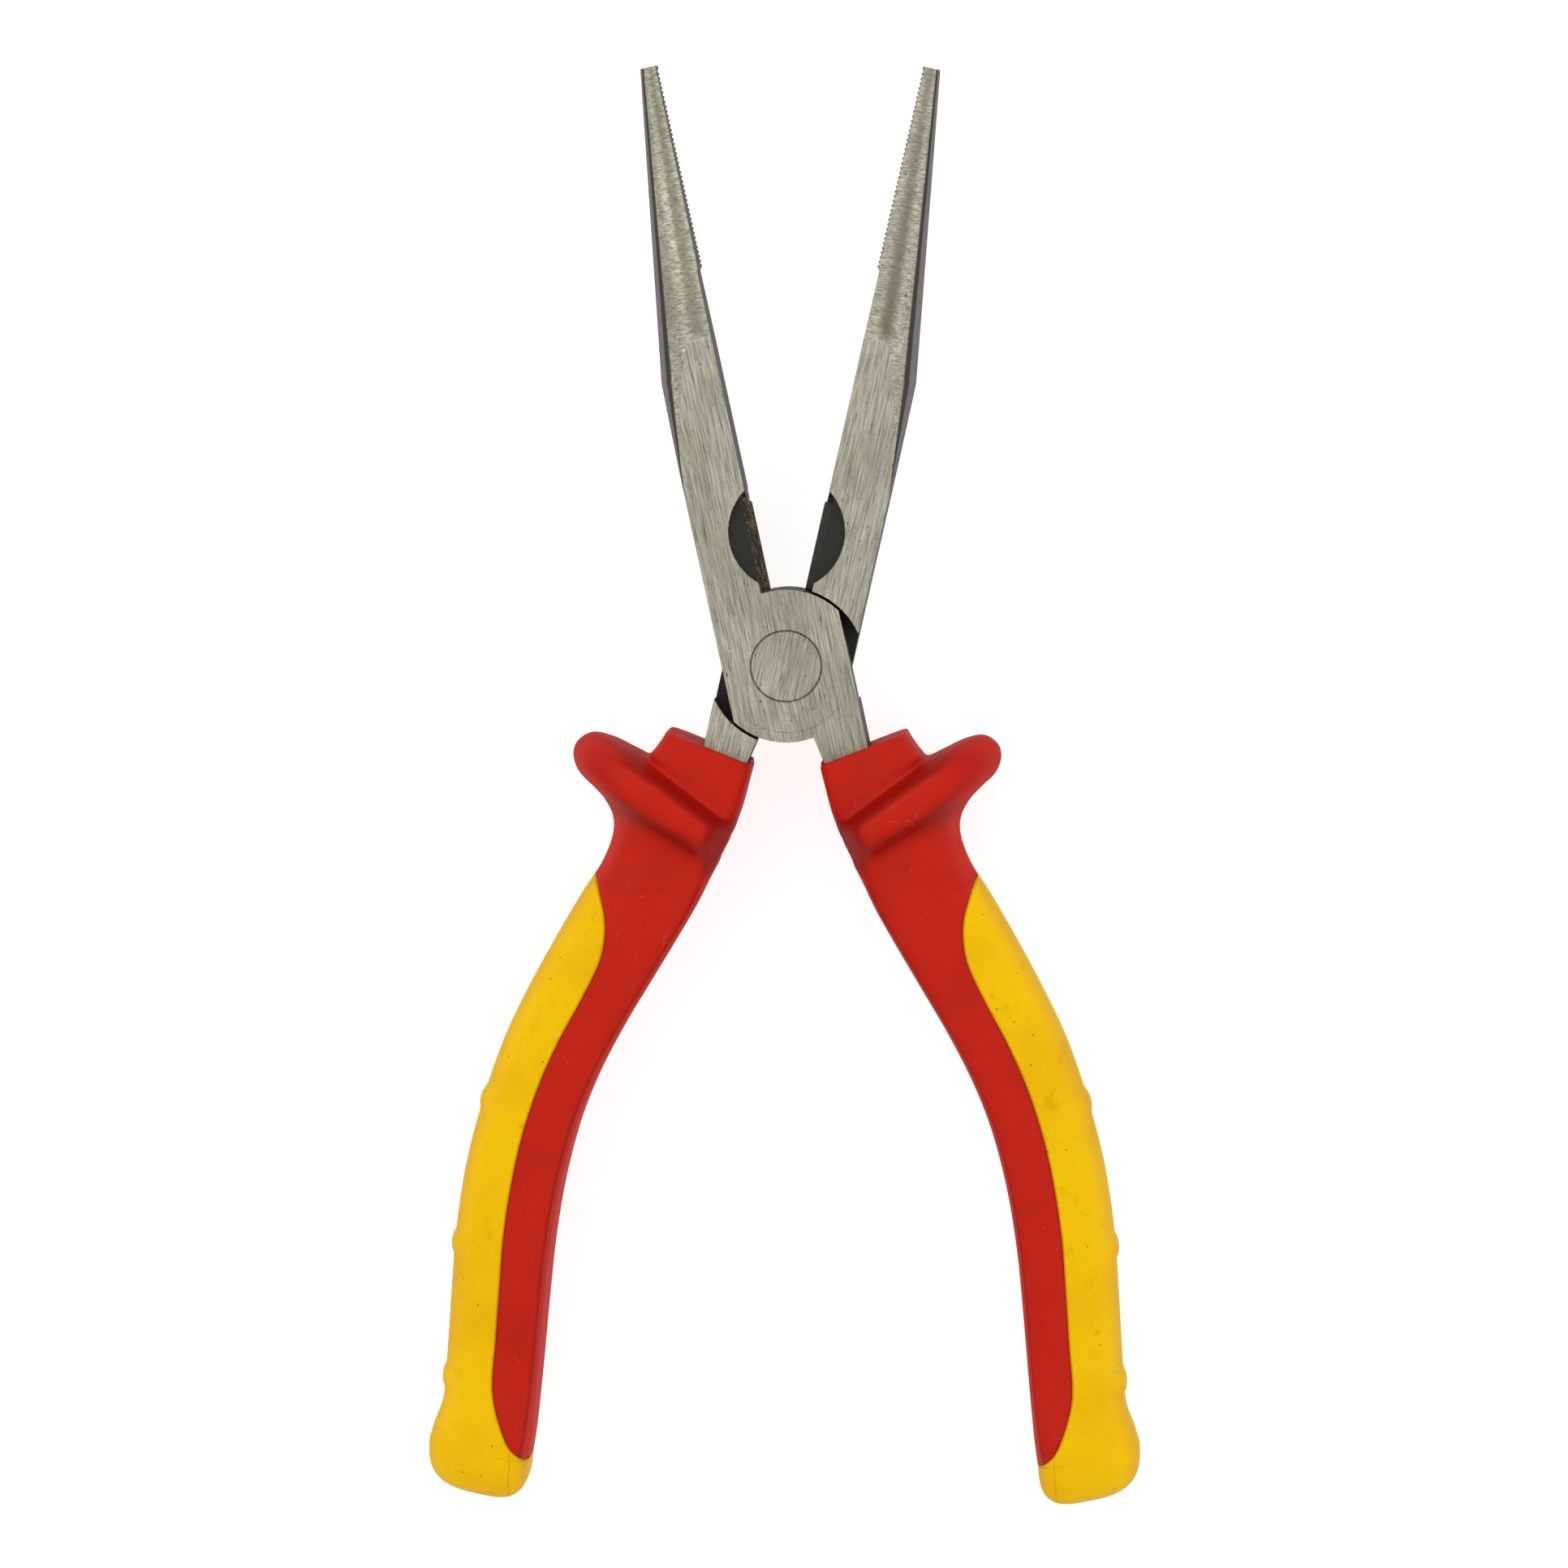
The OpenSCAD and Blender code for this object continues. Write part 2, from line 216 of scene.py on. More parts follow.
def edge_angle(row, edge):
    """Half angle of the soft grip at one section: 0 where it isn't, pi where it is all round."""
    inner, outer = row[0:2], row[2:4]
    width = np.linalg.norm(outer - inner)
    e = (outer - inner) / width
    rel = edge - inner
    side = rel[:, 0] * e[1] - rel[:, 1] * e[0]
    cross = np.nonzero(np.diff(np.sign(side)))[0]
    if len(cross) == 0:
        return np.pi if side[-1] < 0 else 0
    c = cross[0]
    f = side[c] / (side[c] - side[c + 1])
    place = (edge[c] * (1 - f) + edge[c + 1] * f - inner) @ e - MIDDLE * width
    share = place / ((1 - MIDDLE if place > 0 else MIDDLE) * width)
    if abs(share) >= 1:
        return 0 if share > 0 else np.pi
    m = row[7] if share > 0 else row[6]
    return math.atan2((1 - abs(share) ** m) ** (1 / m), share)


def edge_angles(t):
    edge = catmull(GRIP_EDGE, np.linspace(0, len(GRIP_EDGE) - 1, EDGE_POINTS))
    rows = catmull(STATIONS, np.minimum(t, LAST))
    return np.array([np.pi if place >= LAST else edge_angle(row, edge)
                     for place, row in zip(t, rows)])


def row_places():
    """Places along the handle, closer together at the collar, the grip's ends and the foot."""
    fine = np.linspace(0, LAST, SEARCH_PLACES)
    angles = edge_angles(fine)
    start = fine[np.nonzero(angles == 0)[0].max()]
    end = fine[np.nonzero(angles >= np.pi)[0].min()]
    closing = EDGE_STRETCH * np.linspace(0, 1, EDGE_ROWS) ** 2
    rows = np.concatenate([
        np.arange(0, LAST, ROW_STEP), np.linspace(0, COLLAR_STRETCH, COLLAR_ROWS),
        start + closing, end - closing, LAST + np.linspace(0, 1, FOOT_ROWS)])
    rows = np.unique(np.round(rows, 5))
    return rows[np.append(True, np.diff(rows) > LEAST_ROW_STEP)], start, end


def eased(count):
    """Fractions from 0 to 1, close together at both ends."""
    s = np.linspace(0, 1, count)
    return s - EASE / (2 * np.pi) * np.sin(2 * np.pi * s)


def surface_normals(t, angle):
    step = NORMAL_STEP
    ahead = handle_surface(t + step, angle) - handle_surface(t - step, angle)
    around = handle_surface(t, angle + step) - handle_surface(t, angle - step)
    normal = np.cross(around, ahead)
    length = np.linalg.norm(normal, axis=2, keepdims=True)
    return normal / np.maximum(length, 1e-12)


def groove_line(rows, angles):
    """The line where the colours meet, on both faces, as a tree to search."""
    keep = (angles > 0) & (angles < np.pi)
    t, a = rows[keep], angles[keep]
    dense = np.linspace(t[0], t[-1], GROOVE_PLACES)
    a = np.interp(dense, t, a)
    line = handle_surface(dense, np.stack([a, -a], axis=1)).reshape(-1, 3)
    tree = KDTree(len(line))
    for k, p in enumerate(line):
        tree.insert(p, k)
    tree.balance()
    return tree


def rib_lift(points):
    """Height of the three small cross ribs on the outer side."""
    lift = np.zeros(points.shape[:2])
    ends = smooth((RIB_SPAN - np.abs(points[..., 2])) / RIB_FADE)
    for place in RIB_STATIONS:
        top = catmull(STATIONS, np.array([place]))[0, 2:4]
        far = np.hypot(points[..., 0] - top[0], points[..., 1] - top[1])
        dome = np.sqrt(np.clip(1 - (far / RIB_REACH) ** 2, 0, 1)) ** RIB_DOME
        lift = np.maximum(lift, RIB_HEIGHT * dome * ends)
    return lift


def shaped(t, angle, tree, ribs):
    """The skin with its groove and, on the soft grip, its ribs, and how far off the groove is."""
    points = handle_surface(t, angle)
    normal = surface_normals(t, angle)
    gap = np.array([[tree.find(p)[2] for p in row] for row in points])
    push = -GROOVE_DEPTH * np.exp(-(gap / GROOVE_WIDTH) ** 2)
    if ribs:
        push = push + rib_lift(points)
    outward = np.sign(np.sum(normal * (points - points.mean(axis=1, keepdims=True)), axis=2))
    return points + normal * (push * outward)[..., None], gap


def mouth_rows(angle):
    """Rings of the collar's end: the hole that the tang comes out of, and its flat face."""
    s = STATIONS[0]
    width = np.linalg.norm(s[2:4] - s[0:2])
    e = (s[2:4] - s[0:2]) / width
    inward = np.array([e[1], -e[0], 0])
    centre = np.append(s[0:2] + e * TANG_MOUTH["from_inner"], 0)
    radius = rounded_square(angle, TANG_MOUTH["square"])
    flat = radius * np.cos(angle) * TANG_MOUTH["half_w"]
    up = radius * np.sin(angle) * TANG_MOUTH["half_t"]
    ring = centre + flat[:, None] * np.append(e, 0) + up[:, None] * np.array([0, 0, 1])
    rim = handle_surface(np.array([0.0]), angle)[0]
    rings = [ring + inward * TANG_MOUTH["depth"], ring + inward * MOUTH_LIP, ring]
    rings += [ring + (rim - ring) * share for share in FACE_RINGS]
    return np.stack(rings)


def grid_mesh(name, points, gap):
    """A mesh of quads over a grid of points, in millimetres; folded-up quads are left out.

    Its attribute "groove" is 1 in the groove between the colours and 0 away from it.
    """
    rows, columns = points.shape[:2]
    index = np.arange(rows * columns).reshape(rows, columns)
    faces = np.stack([index[:-1, :-1], index[:-1, 1:], index[1:, 1:], index[1:, :-1]], axis=2)
    mesh = bpy.data.meshes.new(name)
    mesh.from_pydata((points.reshape(-1, 3) * MM).tolist(), [], faces.reshape(-1, 4).tolist())
    near = mesh.attributes.new("groove", "FLOAT", "POINT")
    near.data.foreach_set("value", np.exp(-(gap.ravel() / GROOVE_LINE) ** 2).astype(np.float32))
    work = bmesh.new()
    work.from_mesh(mesh)
    bmesh.ops.remove_doubles(work, verts=work.verts, dist=MERGE_DISTANCE)
    bmesh.ops.dissolve_degenerate(work, dist=SHORTEST_EDGE, edges=work.edges)
    bmesh.ops.recalc_face_normals(work, faces=work.faces)
    work.to_mesh(mesh)
    work.free()
    mesh.shade_smooth()
    return mesh


def half_matrix(half):
    flip, turn = HALVES[half]
    return (Matrix.Translation((0, 0, MID_PLANE * MM)) @ Matrix.Rotation(math.radians(turn), 4, "Z")
            @ Matrix.Rotation(math.radians(flip), 4, "Y"))


def place_piece(mesh, name, half, node, material, thickness):
    data = mesh.copy()
    data.transform(half_matrix(half))
    piece = bpy.data.objects.new(name, data)
    bpy.context.scene.collection.objects.link(piece)
    skin = piece.modifiers.new("thickness", "SOLIDIFY")
    skin.thickness = thickness * MM
    skin.offset = -1
    data.materials.append(material)
    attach(piece, half + "_half")
    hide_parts(node)


def build_handles():
    rows, start, end = row_places()
    angles = edge_angles(rows)
    angles[rows <= start] = 0
    angles[rows >= end] = np.pi
    tree = groove_line(rows, angles)
    on = rows >= start
    yellow_angle = angles[on][:, None] * (2 * eased(YELLOW_COLUMNS)[None, :] - 1)
    yellow = grid_mesh("soft_grip", *shaped(rows[on], yellow_angle, tree, True))
    off = rows <= end
    red_angle = angles[off][:, None] + (2 * np.pi - 2 * angles[off][:, None]) * eased(RED_COLUMNS)
    red_points, red_gap = shaped(rows[off], red_angle, tree, False)
    mouth = mouth_rows(red_angle[0])
    red = grid_mesh("handle_shell", np.concatenate([mouth, red_points]),
                    np.concatenate([np.full(mouth.shape[:2], red_gap.max()), red_gap]))
    for half in HALVES:
        place_piece(red, half + "_shell_skin", half, half + "_handle_shell",
                    red_material(half + "_red", half), RED_THICKNESS)
        place_piece(yellow, half + "_grip_skin", half, half + "_soft_grip",
                    yellow_material(half + "_yellow", half), YELLOW_THICKNESS)


# --- materials ----------------------------------------------------------------------
def srgb(red, green, blue):
    """A screen colour of 0 to 255 as the linear colour that the shader takes."""
    def linear(c):
        c /= 255
        return c / 12.92 if c <= 0.04045 else ((c + 0.055) / 1.055) ** 2.4
    return (linear(red), linear(green), linear(blue), 1)


class Shader:
    """Builds one node material, a node at a time."""

    def __init__(self, name):
        self.material = bpy.data.materials.new(name)
        self.material.use_nodes = True
        self.tree = self.material.node_tree
        self.surface = self.tree.nodes["Principled BSDF"]

    def node(self, kind, inputs=(), **settings):
        made = self.tree.nodes.new("ShaderNode" + kind)
        for key, value in settings.items():
            setattr(made, key, value)
        for key, value in dict(inputs).items():
            self.feed(made.inputs[key], value)
        return made

    def feed(self, socket, value):
        if isinstance(value, bpy.types.NodeSocket):
            self.tree.links.new(value, socket)
        else:
            socket.default_value = value

    def math(self, operation, a, b=0.0):
        return self.node("Math", {0: a, 1: b}, operation=operation).outputs[0]

    def times(self, *factors):
        product = factors[0]
        for factor in factors[1:]:
            product = self.math("MULTIPLY", product, factor)
        return product

    def off(self, value, middle):
        """How far a value lies from its middle, on either side."""
        return self.math("ABSOLUTE", self.math("SUBTRACT", value, middle))

    def vector(self, operation, a, b):
        return self.node("VectorMath", {0: a, 1: b}, operation=operation).outputs[0]

    def stretched(self, vector, *scale):
        return self.vector("MULTIPLY", vector, scale)

    def ramp(self, value, low, high, to_low=0.0, to_high=1.0):
        """A smooth step, held at its end values outside low and high."""
        made = self.node("MapRange", {"Value": value, "From Min": low, "From Max": high,
                                      "To Min": to_low, "To Max": to_high},
                         interpolation_type="SMOOTHSTEP")
        return made.outputs[0]

    def ramp_line(self, value, low, high, to_low, to_high):
        """A straight line through two points, carried on past both."""
        made = self.node("MapRange", {"Value": value, "From Min": low, "From Max": high,
                                      "To Min": to_low, "To Max": to_high},
                         interpolation_type="LINEAR", clamp=False)
        return made.outputs[0]

    def noise(self, vector, scale, detail, rough=0.55):
        made = self.node("TexNoise", {"Vector": vector, "Scale": scale, "Detail": detail,
                                      "Roughness": rough})
        return made.outputs[0]

    def spots(self, vector, scale, edge, core, strength):
        """Small round spots scattered over a surface."""
        far = self.node("TexVoronoi", {"Vector": vector, "Scale": scale}).outputs["Distance"]
        return self.ramp(far, edge, core, 0, strength)

    def mix(self, factor, a, b):
        made = self.tree.nodes.new("ShaderNodeMix")
        made.data_type = "RGBA"
        self.feed(made.inputs[0], factor)
        self.feed(made.inputs[6], a)
        self.feed(made.inputs[7], b)
        return made.outputs[2]

    def mix_value(self, factor, a, b):
        made = self.tree.nodes.new("ShaderNodeMix")
        self.feed(made.inputs[0], factor)
        self.feed(made.inputs[2], a)
        self.feed(made.inputs[3], b)
        return made.outputs[0]

    def half_space(self, half):
        """Where a point is on its half as both are drawn, in millimetres, and how it faces.

        face_on is 1 where the surface faces along the rivet and 0 on the narrow sides.
        """
        coord = self.node("TexCoord")
        moved = self.vector("SUBTRACT", coord.outputs["Object"], (0, 0, MID_PLANE * MM))
        # The back half is turned over, so both halves turn back by the same angle.
        spin = (0, math.radians(HALVES[half][0]), math.radians(-HALF_OPENING_DEG))
        turned, facing = [self.node("VectorRotate", {"Vector": vector, "Rotation": spin},
                                    rotation_type="EULER_XYZ").outputs[0]
                          for vector in (moved, coord.outputs["Normal"])]
        place = self.stretched(turned, 1 / MM, 1 / MM, 1 / MM)
        x, y, z = self.split(place)
        facing_x, _, facing_z = self.split(facing)
        return SimpleNamespace(place=place, x=x, y=y, height=self.math("ABSOLUTE", z),
                               facing_x=facing_x, face_on=self.math("ABSOLUTE", facing_z))

    def groove(self):
        return self.node("Attribute", attribute_name="groove").outputs["Fac"]

    def split(self, vector):
        return self.node("SeparateXYZ", {0: vector}).outputs

    def bump(self, height, depth_mm, strength, normal=None):
        inputs = {"Height": height, "Distance": depth_mm * MM, "Strength": strength}
        if normal is not None:
            inputs["Normal"] = normal
        return self.node("Bump", inputs).outputs[0]

    def set(self, **sockets):
        for key, value in sockets.items():
            self.feed(self.surface.inputs[key.replace("_", " ")], value)


GROUND_LIGHT = srgb(222, 219, 200)
GROUND_DARK = srgb(118, 115, 97)
GROUND_SHINE = srgb(244, 242, 228)
SCRATCH_DARK = srgb(92, 90, 76)
PIT = srgb(58, 56, 50)
RAW = srgb(138, 133, 134)
RAW_DARK = srgb(104, 99, 99)
RAW_EDGE = srgb(70, 63, 57)
# Raw steel of the upright walls, darkened with painted shade.
SHADED_WALL = srgb(84, 82, 86)
SHADED_WALL_DARK = srgb(50, 47, 47)
TOOTHED_EDGE_DARK = srgb(80, 76, 66)
RECESS = srgb(52, 53, 47)
RUST = srgb(26, 21, 17)
RUST_LIGHT = srgb(172, 148, 108)
RING_DIRT = srgb(84, 72, 50)
STEEL_METAL = 0.85
STEEL_GLOSS = 0.5
# Raw and dirty steel.
DULL_METAL = 0.15
DULL_ROUGH = 0.6
DULL_GLOSS = 0.1
# Grain of the steel, in marks per millimetre across, along and through a half.
FLAT_GRAIN = (4.6, 0.13, 1.0)
SCRATCH_GRAIN = (6.5, 0.28, 2.0)
CONE_GRAIN = (1.2, 5.0, 1.2)
PIT_GRAIN = (3.2, 0.9, 2.0)
GRIT_GRAIN = 7.0
# Places on a half. In a pair of bounds, a look fades in from the first to the second. Heights
# are from the mid plane, and x is measured from the gripping face.
GROUND_FACE = (4.86, 4.89)
BELOW_FACE = (4.75, 4.6)
CUTTER_START = (9.8, 10.4)
CUTTER_END = (25.4, 25.0)
CUTTER_SIDE = (-4.7, -4.5)
BEVEL_SIDE = (-1.35, -1.15)
TEETH_START = (53.5, 54.5)
TEETH_SIDE = (-0.36, -0.24)
RIVET_RING = 4.75
# The arc that the other half's shoulder has rubbed, and where along the half it shows.
RUBBED_ARC = 8.9
RUBBED_END = (-4.5, -6.5)
# Places along the jaw between which its half-round runs.
CONE = (45.0, 82.0)
CONE_START = (43.0, 47.0)
# Painted shade along the half-round's crest: its place and width at the root and at the tip,
# and for each half its place at the root and how strong it is at the root and at the tip.
CREST_TIP = -1.1
CREST_WIDTH = (1.7, 0.75)
CREST_SHADE = {"front": (-2.1, 0.62, 0.62), "back": (-3.2, 0.95, 0.45)}
# Width of the raw strip left along the jaw's outer side: at the half-round's root and tip,
# and the places between which it starts at the joint.
STRIP = (1.5, 0.5)
STRIP_START = (25.0, 40.0)
# Shares of the strip's width: where it turns dark, and where the ground steel begins.
STRIP_DARK = (0.44, 0.60)
STRIP_END = (1.08, 0.86)
# The jaw's outer side runs straight to the tip: where it leaves the joint's flat side, the
# tip, and its distances from the gripping face at both.
SIDE = (40.5, 82.0, -8.45, -2.35)
# Share of rusty dirt on the cutter's bevel: one jaw is much dirtier than the other.
DIRT_SHARE = {"front": 1.0, "back": 0.15}


def ground_steel(shader, at):
    """Colour of the ground surfaces, and its tone: along the flats, across the half-round."""
    along = shader.noise(shader.stretched(at.place, *FLAT_GRAIN), 1.0, 4, 0.66)
    fine = shader.noise(shader.stretched(at.place, *SCRATCH_GRAIN), 1.0, 4, 0.66)
    flat_tone = shader.ramp_line(along, 0.3, 0.7, 0.12, 0.88)
    cone_tone = shader.ramp_line(at.cross, 0.3, 0.7, 0.0, 1.0)
    tone = shader.mix_value(at.on_flat, cone_tone, flat_tone)
    colour = shader.mix(tone, GROUND_DARK, GROUND_LIGHT)
    lines = shader.times(shader.ramp(fine, 0.46, 0.33, 0, 0.75), at.on_flat)
    colour = shader.mix(lines, colour, SCRATCH_DARK)
    shine = shader.times(shader.ramp(fine, 0.54, 0.68, 0, 0.5), at.on_flat)
    colour = shader.mix(shine, colour, GROUND_SHINE)
    colour = shader.mix(shader.ramp(at.grit, 0.5, 0.8, 0, 0.6), colour, SCRATCH_DARK)
    colour = shader.mix(shader.ramp(at.grit, 0.46, 0.22, 0, 0.5), colour, GROUND_LIGHT)
    cloud = shader.noise(at.place, 0.13, 2)
    colour = shader.mix(shader.ramp(cloud, 0.35, 0.7, 0, 0.3), colour, GROUND_DARK)
    pits = shader.noise(shader.stretched(at.place, *PIT_GRAIN), 1.0, 2, 0.4)
    return shader.mix(shader.ramp(pits, 0.72, 0.76), colour, PIT), tone


def rivet_ring(shader, at, colour):
    """Dirt in the fine gap round the rivet's head."""
    worn = shader.times(shader.ramp(shader.off(at.from_axis, RIVET_RING), 0.24, 0.05),
                        shader.ramp(at.grit, 0.3, 0.6, 0.3, 0.9))
    return shader.mix(worn, colour, RING_DIRT)


def rubbed_arc(shader, at, colour):
    swept = shader.ramp(shader.off(at.from_axis, RUBBED_ARC), 0.22, 0.04, 0, 0.5)
    arc = shader.times(swept, shader.ramp(at.y, *RUBBED_END), at.on_flat,
                       shader.ramp(at.cross, 0.42, 0.62))
    return shader.mix(arc, colour, RING_DIRT)


def painted_crest_shade(shader, at, half, colour):
    """Painted shade along the crest of the half-round, making it darker than its slopes."""
    root, root_shade, tip_shade = CREST_SHADE[half]
    crest = shader.ramp_line(at.y, *CONE, root, CREST_TIP)
    width = shader.ramp_line(at.y, *CONE, *CREST_WIDTH)
    dull = shader.times(
        shader.ramp(shader.math("DIVIDE", shader.off(at.x, crest), width), 1.0, 0.1),
        shader.ramp_line(at.y, *CONE, root_shade, tip_shade),
        shader.ramp(at.y, *CONE_START), shader.ramp(at.on_flat, 0.5, 0.0))
    return shader.mix(dull, colour, GROUND_DARK)


def raw_sides(shader, at, colour):
    """The raw strip along the jaw, a darker toothed edge, and painted shade on the upright side
    walls; where it is raw.
    """
    edge = shader.math("MAXIMUM", shader.ramp_line(at.y, *SIDE), SIDE[2])
    strip = shader.math("MINIMUM", shader.ramp_line(at.y, *CONE, *STRIP),
                        shader.ramp_line(at.y, *STRIP_START, 0.0, STRIP[0]))
    strip = shader.math("MAXIMUM", strip, 0.01)
    from_edge = shader.math("DIVIDE", shader.math("SUBTRACT", at.x, edge), strip)
    in_strip = shader.ramp(from_edge, *STRIP_END)
    mottle = shader.ramp(at.grit, 0.35, 0.65)
    raw = shader.mix(mottle, RAW_DARK, RAW)
    raw = shader.mix(shader.ramp(from_edge, *STRIP_DARK), raw, RAW_EDGE)
    colour = shader.mix(in_strip, colour, raw)
    # The toothed edge along the gripping face is darkened.
    toothed = shader.times(shader.ramp(at.x, *TEETH_SIDE), shader.ramp(at.y, *TEETH_START), 0.75)
    colour = shader.mix(toothed, colour, TOOTHED_EDGE_DARK)
    # Upright walls get painted shade over their raw steel.
    upright = shader.ramp(at.face_on, 0.5, 0.35)
    colour = shader.mix(upright, colour, shader.mix(mottle, SHADED_WALL_DARK, SHADED_WALL))
    return colour, shader.math("MAXIMUM", upright, in_strip)


def dark_recesses(shader, at, half, colour):
    """Blackened pockets and laps, with rusty dirt on the cutter's bevel; where it is dark."""
    inner = shader.times(shader.ramp(at.height, *BELOW_FACE), shader.ramp(at.y, *CUTTER_END))
    level = shader.times(inner, shader.ramp(at.face_on, 0.4, 0.6))
    pocket = shader.times(shader.ramp(at.x, *CUTTER_SIDE), shader.ramp(at.y, *CUTTER_START), inner)
    dark = shader.math("MAXIMUM", level, pocket)
    speck = shader.noise(at.place, 5.0, 4, 0.75)
    clump = shader.noise(at.place, 0.9, 3, 0.6)
    soot = shader.mix(shader.ramp(speck, 0.55, 0.75, 0, 0.25), RECESS, RAW_DARK)
    bevel = shader.times(pocket, shader.ramp(at.x, *BEVEL_SIDE))
    soot = shader.mix(bevel, soot, RUST)
    crumbs = shader.times(shader.ramp(speck, 0.50, 0.58), shader.ramp(clump, 0.4, 0.6, 0.1, 1.0))
    rusty = shader.mix(crumbs, RUST, RUST_LIGHT)
    soot = shader.mix(shader.times(bevel, DIRT_SHARE[half]), soot, rusty)
    return shader.mix(dark, colour, soot), dark


def steel_material(name, half, rivet=False):
    """Ground steel; a forging is also raw on its sides, with painted shade on its upright walls and
    along the half-round's crest, and near black in its recesses.
    """
    shader = Shader(name)
    at = shader.half_space(half)
    at.on_flat = shader.ramp(at.height, *GROUND_FACE)
    at.cross = shader.noise(shader.stretched(at.place, *CONE_GRAIN), 1.0, 4, 0.66)
    at.grit = shader.noise(at.place, GRIT_GRAIN, 3, 0.7)
    at.from_axis = shader.node("VectorMath", {0: shader.stretched(at.place, 1, 1, 0)},
                               operation="LENGTH").outputs[1]
    colour, tone = ground_steel(shader, at)
    colour = rivet_ring(shader, at, colour)
    rough = shader.ramp(tone, 0.2, 0.8, 0.56, 0.42)
    metal = STEEL_METAL
    gloss = STEEL_GLOSS
    if not rivet:
        colour = rubbed_arc(shader, at, colour)
        # Painted shade along the half-round's crest.
        colour = painted_crest_shade(shader, at, half, colour)
        colour, raw = raw_sides(shader, at, colour)
        colour, dark = dark_recesses(shader, at, half, colour)
        dull = shader.math("MAXIMUM", raw, dark)
        rough = shader.mix_value(dull, rough, DULL_ROUGH)
        metal = shader.mix_value(dull, STEEL_METAL, DULL_METAL)
        gloss = shader.mix_value(dull, STEEL_GLOSS, DULL_GLOSS)
    rise = shader.math("ADD", shader.times(tone, 0.6), shader.times(at.grit, 0.6))
    shader.set(Base_Color=colour, Metallic=metal, Roughness=rough, Specular_IOR_Level=gloss,
               Normal=shader.bump(rise, 0.025, 0.5))
    return shader.material


RED = srgb(203, 34, 14)
RED_DEEP = srgb(186, 24, 9)
# Painted shade in creases and on the bead's flanks.
RED_CREASE_SHADE = srgb(140, 12, 6)
RED_DUST_AND_SHEEN = srgb(150, 52, 44)
SCRATCH = srgb(226, 112, 84)
# Painted shade in the groove where the colours meet.
GROOVE_SHADE = srgb(84, 22, 10)
# The guard's bead runs straight: two places across the handle, then its places along it
# there. Painted shade darkens its flanks from the second of the next bounds inwards.
BEAD = (2.9, 25.0, -25.5, -17.0)
FLANK_SHADE_END = (21.0, 17.0)
# Where the guard's wing is a deeper red, across and along the handle.
WING = (17.0, 21.0)
WING_END = (-27.0, -23.0)
# Painted shade on the soft corner down the inner side, below the guard: how that corner faces, and
# where the shade starts.
SHADED_CORNER_FACING = 0.62
SHADED_CORNER_INWARD = (-0.2, -0.5)
SHADED_CORNER_START = (-29.0, -33.0)


def red_material(name, half):
    """Hard satin plastic with faint scuffs and lint; its narrow sides are dull, dusty and painted
    with sheen.
    """
    shader = Shader(name)
    at = shader.half_space(half)
    mottled = shader.noise(at.place, 0.12, 2)
    dusting = shader.noise(at.place, 2.6, 4, 0.7)
    colour = shader.mix(shader.ramp(mottled, 0.35, 0.75, 0, 0.5), RED, RED_DEEP)
    colour = shader.mix(shader.ramp(dusting, 0.3, 0.7, 0, 0.35), colour, RED_DEEP)
    wing = shader.times(shader.ramp(at.x, *WING, 0, 0.8), shader.ramp(at.y, *WING_END))
    colour = shader.mix(wing, colour, RED_DEEP)
    # Painted shade on the flanks of the guard's bead.
    near_bead = shader.ramp(shader.off(at.y, shader.ramp_line(at.x, *BEAD)), 6.0, 3.0)
    flank_shade = shader.times(shader.ramp(at.face_on, 0.95, 0.6, 0, 0.75), near_bead,
                         shader.ramp(at.x, *FLANK_SHADE_END))
    colour = shader.mix(flank_shade, colour, RED_CREASE_SHADE)
    # Narrow sides: dust with a painted sheen.
    colour = shader.mix(shader.ramp(at.face_on, 0.35, 0.05, 0, 0.3), colour, RED_DUST_AND_SHEEN)
    seam = shader.times(shader.ramp(at.height, 0.14, 0.05), shader.ramp(at.face_on, 0.5, 0.3), 0.7)
    colour = shader.mix(seam, colour, RED_DEEP)
    hair = shader.node("TexWave", {"Vector": at.place, "Scale": 0.05, "Distortion": 60,
                                   "Detail": 3, "Detail Scale": 1.3})
    patch = shader.ramp(shader.noise(at.place, 0.28, 2), 0.64, 0.74)
    scuff = shader.times(shader.ramp(hair.outputs[1], 0.985, 1.0), patch, 0.4)
    colour = shader.mix(scuff, colour, SCRATCH)
    colour = shader.mix(shader.spots(at.place, 0.28, 0.05, 0.025, 0.8), colour, RED_DEEP)
    colour = shader.mix(shader.spots(at.place, 0.47, 0.06, 0.03, 0.45), colour, SCRATCH)
    # Painted shade on the soft corner down the inner side.
    corner = shader.times(shader.ramp(shader.off(at.face_on, SHADED_CORNER_FACING), 0.2, 0.05, 0, 0.55),
                          shader.ramp(at.facing_x, *SHADED_CORNER_INWARD),
                          shader.ramp(at.y, *SHADED_CORNER_START))
    colour = shader.mix(corner, colour, RED_CREASE_SHADE)
    # Painted shade in the groove between the colours.
    colour = shader.mix(shader.times(shader.groove(), 0.45), colour, GROOVE_SHADE)
    gloss = shader.ramp(at.face_on, 0.15, 0.7, 0.01, 0.12)
    grain = shader.bump(shader.noise(at.place, 9.0, 3, 0.6), 0.02, 0.35)
    wave = shader.noise(at.place, 0.5, 1)
    shader.set(Base_Color=colour, Roughness=0.5, Specular_IOR_Level=gloss,
               Normal=shader.bump(wave, 0.12, 0.5, grain))
    return shader.material


YELLOW = srgb(255, 204, 0)
YELLOW_DEEP = srgb(242, 182, 0)
# Greasy stains, and painted shade on the narrow sides.
STAIN_AND_SIDE_SHADE = srgb(178, 130, 14)
SPECK = srgb(96, 66, 24)
# The mould line down the foot runs straight: two places along the handle, then its places
# across it there. It fades in between the next bounds.
FOOT_SEAM = (-110.7, -117.3, 12.9, 11.8)
FOOT_SEAM_START = (-110.4, -111.0)


